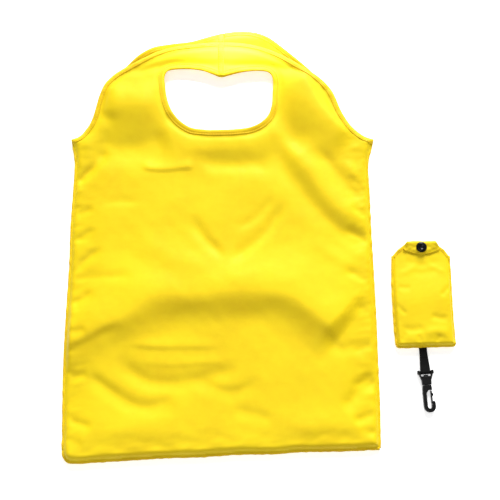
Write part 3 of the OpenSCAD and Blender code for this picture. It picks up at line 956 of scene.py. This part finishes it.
POUCH_FOLDS = [
    ([(-24, -28), (-10, -33), (0, -35), (12, -33), (26, -27)], -1.3, 4, 5, 0.3),
    ([(-14, -42), (-2, -45), (12, -43), (24, -36)], -0.9, 4, 5, 0.3),
    ([(2, -29), (10, -36), (22, -42), (31, -44)], 0.9, 3.5, 3.5, 0.3),
    ([(-2, -28), (-9, -37), (-19, -44), (-30, -47)], 0.8, 3.5, 3.5, 0.3),
    ([(-30, -60), (-22, -63), (-12, -62)], -0.7, 3, 4, 0.3),
    ([(6, -94), (16, -98), (30, -99)], -1.0, 4, 4, 0.3),
    ([(-28, -110), (-14, -112), (2, -109)], -1.1, 5, 5, 0.3),
    ([(-2, -118), (10, -113), (24, -114), (32, -118)], 1.0, 5, 5, 0.3),
    ([(33, -60), (26, -66), (20, -74)], -0.8, 3, 3, 0.3),
    ([(-33, -82), (-26, -88), (-20, -96)], -0.8, 3, 3, 0.3),
    ([(-26, -128), (-24, -120), (-20, -114)], -0.8, 3, 3, 0.35),
    ([(14, -128), (15, -122), (18, -116)], -0.8, 3, 3, 0.35),
    ([(-6, -128), (-6, -122), (-8, -116)], -0.7, 3, 3, 0.35),
]
pouch_ring = closed_line(pouch_outline(MOUTH_Y, 2.5))


def pouch_front_height(p):
    y = p[:, 1]
    edge = near(p, pouch_ring)[0]
    mouth = smooth((y + 84) / 62)
    rim = 3.6 + 2.2 * smooth((y - SHOULDER_Y) / 8)
    top = 11.6 * (1 - mouth) + 6.6 * mouth + 0.4 * ripples(p, 60, 61) * (1 - mouth)
    relief = sum(fold(p, *f) for f in POUCH_FOLDS)
    relief += 0.2 * ripples(p, 34, 62) + 0.02 * ripples(p, 8, 63)
    relief += np.exp(-edge / 3.5) * 0.3 * ripples(p, 8, 64)
    rise = 0.80 * dome(edge / 4.4, 0.7) + 0.20 * smooth((edge + 4) / 20)
    height = rim + (top - rim) * rise + relief * smooth(edge / 5) * (1 - 0.6 * mouth)
    return np.clip(height, 2.0, 14)


def pouch_back_height(p):
    edge = near(p, pouch_ring)[0]
    return 0.5 + 2.4 * (1 - dome(edge / 6)) + 0.12 * ripples(p, 14, 65)


P_LOW, P_HIGH = (-40, POUCH_BOTTOM - 4), (40, FLAP_FOLD_Y + 4)
POUCH_FRONT = Surface(pouch_front_height, P_LOW, P_HIGH, 0.7,
                      held_by_seam(pouch_ring, lambda y: 3.6, SHOULDER_Y - 8, 6))
POUCH_BACK = Surface(pouch_back_height, P_LOW, P_HIGH, 1.0)


pouch_front = cloth("pouch_front_sheet", pouch_outline(MOUTH_Y, POUCH_STEP), [], POUCH_STEP, POUCH_FRONT,
                    YELLOW, POUCH_X)
pouch_back = cloth("pouch_back_sheet", pouch_outline(FLAP_FOLD_Y - 1.5, POUCH_BACK_STEP), [], POUCH_BACK_STEP,
                   POUCH_BACK, YELLOW, POUCH_X)
assign(pouch_front, "pouch", "nylon", "pouch_front_panel")
assign(pouch_back, "pouch", "nylon", "pouch_back_panel")


def pouch_welt(name, knots, node, seed, z=3.4):
    line = spline(knots, 1.2)
    path = np.column_stack([line, np.full(len(line), z)])
    made = welt(name, path, 3.0, 4.2, SEAM_YELLOW, POUCH_X, seed)
    return assign(made, "pouch", "seam_nylon", node)


pouch_trim = [
    pouch_welt("pouch_welt_left", P_LEFT, "pouch_seam_left", 71),
    pouch_welt("pouch_welt_right", P_RIGHT, "pouch_seam_right", 72),
    pouch_welt("pouch_welt_bottom", P_BOTTOM, "pouch_seam_bottom", 73),
]
mouth_line = resample([(-33.0, SHOULDER_Y), (-27, -17.5), (-MOUTH_HALF, MOUTH_Y), (MOUTH_HALF, MOUTH_Y),
                       (27, -17.5), (32.6, SHOULDER_Y)], 1.0)
mouth_fold = hem("pouch_mouth_fold", mouth_line, 3.4, POUCH_FRONT, -1, SEAM_YELLOW, POUCH_X, 74, lift=0.55)
pouch_trim.append(assign(mouth_fold, "pouch", "seam_nylon", "pouch_mouth_hem"))
mouth_row = stitch_row(mouth_line, 2.5, POUCH_FRONT, -1, 0.4, FINE_PITCH)
mouth_rows = stitches("pouch_mouth_stitches", *mouth_row, THREAD, POUCH_X, *FINE)
pouch_trim.append(assign(mouth_rows, "pouch", "seam_nylon"))


# ---------- Flap ----------

FLAP_PATH = spline([(-14, 1.3), (-11, 1.3), (-8.6, 1.9), (-7.45, 4.0), (-7.3, 6.8), (-7.9, 9.2), (-9.6, 10.35),
                    (-12, 10.3), (-15, 9.85), (-18, 9.5), (-20.5, 8.9), (-22.4, 8.3), (-23.3, 7.9)], 0.55)


def flap_half(y, z):
    """Half of the flap's width along its path."""
    plate = np.interp(-y, [8, 10, 12.5, 15.5, 17, 18.5, 20, 21.5, 22.6, 23.3],
                      [16.6, 18.4, 20, 21.2, 21.0, 19, 15.5, 10.5, 6, 1.2])
    return np.where(z < 7, 16.2, np.maximum(plate, 1.0))


def make_flap():
    across_count = 41
    u = np.linspace(-1, 1, across_count)
    rows = []
    for y, z in FLAP_PATH:
        half = float(flap_half(y, z))
        x = u * half + 0.4
        free = float(smooth((z - 7) / 2) * smooth((-8 - y) / 6))
        away = np.hypot(x, y - SNAP[1])
        sag = 1.5 * smooth((away - 7) / 12) * free
        flat = np.column_stack([x, np.full(across_count, y)])
        wrinkle = 0.35 * ripples(flat, 12, 82) + 0.12 * ripples(flat, 5, 83)
        rows.append(np.column_stack([x, flat[:, 1] + 0.25 * ripples(flat, 11, 81), z - sag + free * wrinkle]))
    grid = np.stack(rows)
    run = np.gradient(grid, axis=0)
    side = np.gradient(grid, axis=1)
    normal = np.cross(side, run)
    normal /= np.linalg.norm(normal, axis=2)[..., None] + 1e-9
    normal *= np.sign(normal[30, across_count // 2, 2] or 1)
    thick = 0.45
    count = grid.shape[0] * across_count
    half_thick = normal * thick / 2
    points = np.vstack([(grid + half_thick).reshape(-1, 3), (grid - half_thick).reshape(-1, 3)])
    faces = []
    for i in range(grid.shape[0] - 1):
        for j in range(across_count - 1):
            a = i * across_count + j
            quad = (a, a + 1, a + 1 + across_count, a + across_count)
            faces.append(quad)
            faces.append(tuple(count + k for k in reversed(quad)))
    rim = list(range(across_count))
    rim += [i * across_count + across_count - 1 for i in range(1, grid.shape[0])]
    rim += [(grid.shape[0] - 1) * across_count + j for j in range(across_count - 2, -1, -1)]
    rim += [i * across_count for i in range(grid.shape[0] - 2, 0, -1)]
    for a, b in zip(rim, rim[1:] + rim[:1]):
        faces.append((b, a, a + count, b + count))
    obj = make_object("flap_sheet", points, faces, YELLOW, POUCH_X)
    fix_normals(obj)
    return obj, grid, normal


def bend_flap(obj):
    """Bakes a piece's placement into its mesh; nothing bends it over the top of the fold."""
    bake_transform(obj)


flap, flap_grid, flap_normal = make_flap()
bend_flap(flap)
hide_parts("pouch_flap", "pouch_flap_fold")


def flap_edge_rows():
    """Stitches a little inside the flap's free edge."""
    first = int(np.argmax(FLAP_PATH[:, 1] > 9.9))
    picked = []
    for column in (3, -4):
        picked.append((flap_grid[first:-4, column], flap_normal[first:-4, column]))
    low = flap_grid.shape[0] - 5
    picked.append((flap_grid[low, 4:-4], flap_normal[low, 4:-4]))
    rows = []
    for line, up in picked:
        lifted = resample(line + up * 0.35 * np.sign(up[:, 2:3]), 1.3)[::2]
        rows.append((lifted, np.gradient(lifted, axis=0)))
    return joined_rows(rows)


flap_rows = stitches("flap_stitches", *flap_edge_rows(), THREAD, POUCH_X, *FINE)
bend_flap(flap_rows)


# ---------- Snap ----------


def lathe(name, profile, centre, material, sides=56):
    """A turned piece about a vertical axis. profile is radius and height, from the axis down and round."""
    turns = 2 * math.pi * np.arange(sides) / sides
    ring = np.column_stack([np.cos(turns), np.sin(turns), np.zeros(sides)])
    rings = [np.asarray(centre) + r * ring + [0, 0, z] for r, z in profile]
    return tube(name, np.stack(rings), material, 0.0)


cap_radius = (SNAP_HIGH[0] - SNAP_LOW[0]) / 2
cap_height = SNAP_HIGH[2] - SNAP_LOW[2]
CAP = [(0.15, 0.62), (1.2, 0.64), (2.0, 0.72), (2.5, 0.88), (3.0, 0.97), (3.6, 1.0),
       (4.3, 0.97), (4.9, 0.88), (5.35, 0.74), (5.6, 0.60), (5.75, 0.56), (6.0, 0.54),
       (6.2, 0.46), (6.25, 0.3), (6.2, 0.08), (6.0, -0.06), (4.0, -0.06)]
CAP_WIDEST = max(r for r, h in CAP)
cap = lathe("snap_cap_domed", [(r * cap_radius / CAP_WIDEST, h * cap_height) for r, h in CAP],
            (SNAP[0], SNAP[1], SNAP_LOW[2]), SNAP_BLACK)
assign(cap, "flap", "snap_plastic", "snap_cap")


# ---------- Strap ----------

joints = {joint["name"]: joint for joint in frame["joints"]}
ROOT = np.array(joints["strap_swing"]["pos_m"]) / MM
BAR = np.array(joints["eye_swing"]["pos_m"]) / MM
LEAN = math.atan2(BAR[0] - ROOT[0], ROOT[1] - BAR[1])


def along_strap(x, y, z):
    """A point of the strap's own frame, with its root at 0 and Y towards the root, in the row frame."""
    c, s = math.cos(LEAN), math.sin(LEAN)
    return np.column_stack([ROOT[0] + x * c - y * s, ROOT[1] + x * s + y * c, ROOT[2] + z])


def ribbon_rings(path, widths, thick):
    """Rings of a ribbed webbing along a path of Y and Z in the strap's frame."""
    run = np.gradient(path, axis=0)
    run /= np.linalg.norm(run, axis=1)[:, None]
    up = np.column_stack([-run[:, 1], run[:, 0]])
    up *= np.sign(up[0, 1]) or 1
    across = np.linspace(-1, 1, 27)
    rib = 0.17 * np.cos(across * math.pi * 4.0) + 0.05 * np.cos(across * math.pi * 13)
    edge = np.sqrt(np.clip(1 - np.abs(across) ** 14, 0, 1))
    rings = []
    along = distances(path)
    weave = 0.045 * np.cos(along * 2 * math.pi / 1.5)
    for k in range(len(path)):
        ring = []
        for face in (1, -1):
            order = slice(None) if face == 1 else slice(None, None, -1)
            x = (across * widths[k] / 2)[order]
            high = ((thick / 2 + rib + weave[k]) * (0.25 + 0.75 * edge))[order] * face
            ring.append(np.column_stack([x, path[k, 0] + up[k, 0] * high, path[k, 1] + up[k, 1] * high]))
        ring = np.vstack(ring)
        rings.append(along_strap(ring[:, 0], ring[:, 1], ring[:, 2]))
    return np.stack(rings)


def make_strap():
    """One length of webbing out to the crossbar, round it and back, narrow at the pouch."""
    bar = -math.hypot(*(BAR[:2] - ROOT[:2]))
    radius, thick = 2.05, 0.9
    root_width, gain = 8.9, 2.1
    up, down = 0.55, -0.55
    turns = np.radians(np.arange(75, 286, 12))
    loop = [(bar + radius * math.cos(t), radius * math.sin(t)) for t in turns]
    path = [(1.2, up + 0.1), (-2, up), (-9, up + 0.15), (-14, up + 0.25), (-19, 0.9), (-23.5, 1.5)]
    path += loop
    path += [(-23.5, -1.5), (-19, -0.9), (-14, down - 0.05), (-9, down), (-2, down), (1.2, down)]
    line = spline(path, 0.75)
    widths = root_width + gain * smooth((-4 - line[:, 0]) / 22)
    return tube("webbing_loop", ribbon_rings(line, widths, thick), WEBBING, 0)


strap = make_strap()
assign(strap, "strap", "webbing", "strap_webbing")


def tack_stitches():
    """The box of black stitches that closes the loop."""
    y0 = -math.hypot(*(node_middle("strap_tack")[:2] - ROOT[:2]))
    places, ahead = [], []
    z, count, spacing, lean, rise = 1.28, 13, 0.65, 0.3, 0.9
    for k in range(count):
        x = (k - (count - 1) / 2) * spacing
        slant = rise if k % 2 else -rise
        points = along_strap(np.array([x - lean, x + lean]), np.array([y0 - slant, y0 + slant]), np.full(2, z))
        places.append(points.mean(0))
        ahead.append(points[1] - points[0])
    return np.array(places), np.array(ahead)


tack = stitches("tack_threads", *tack_stitches(), BLACK_THREAD, 0, 2.0, 0.55)
assign(tack, "strap", "black_thread", "strap_tack")


# ---------- Moulded hook ----------


def moulded(node, material, voxel=0.28):
    """Rounds a CAD node's edges, as a mould does, and gives it its plastic."""
    obj = frame["nodes"][node]
    obj.data.materials.clear()
    obj.data.materials.append(material)
    remesh = obj.modifiers.new("rounding", "REMESH")
    remesh.mode = "VOXEL"
    remesh.voxel_size = voxel * MM
    remesh.use_smooth_shade = True
    relax = obj.modifiers.new("relax", "SMOOTH")
    relax.factor = 0.5
    relax.iterations = 5


for part in ("hook_eye", "hook_body", "hook_gate"):
    moulded(part, HOOK_BLACK)
for part in ("snap_socket", "snap_stud", "snap_stud_base"):
    node = frame["nodes"][part]
    node.data.materials.clear()
    node.data.materials.append(SNAP_BLACK)


# ---------- Flat areas of the sheets, worked out and not kept ---


def flat_area(outline, holes=()):
    def area(loop):
        x, y = loop.T
        return abs((x * np.roll(y, -1) - np.roll(x, -1) * y).sum()) / 2

    return (area(outline) - sum(area(h) for h in holes)) * MM * MM


def declare(outline, holes):
    area = flat_area(outline, holes)


declare(body_outline(FRONT_EDGE, BAG_TOP, PART_Y, FRONT_STEP), [FRONT_HOLE])
declare(body_outline(FRONT_EDGE, PART_Y, BAG_BOTTOM, FRONT_STEP), [])
declare(body_outline(BACK_EDGE, BAG_TOP, PART_Y, BACK_STEP), [BACK_HOLE])
declare(body_outline(BACK_EDGE, PART_Y, BAG_BOTTOM, BACK_STEP), [])
declare(pouch_outline(MOUTH_Y, POUCH_STEP), [])
declare(pouch_outline(FLAP_FOLD_Y - 1.5, POUCH_BACK_STEP), [])
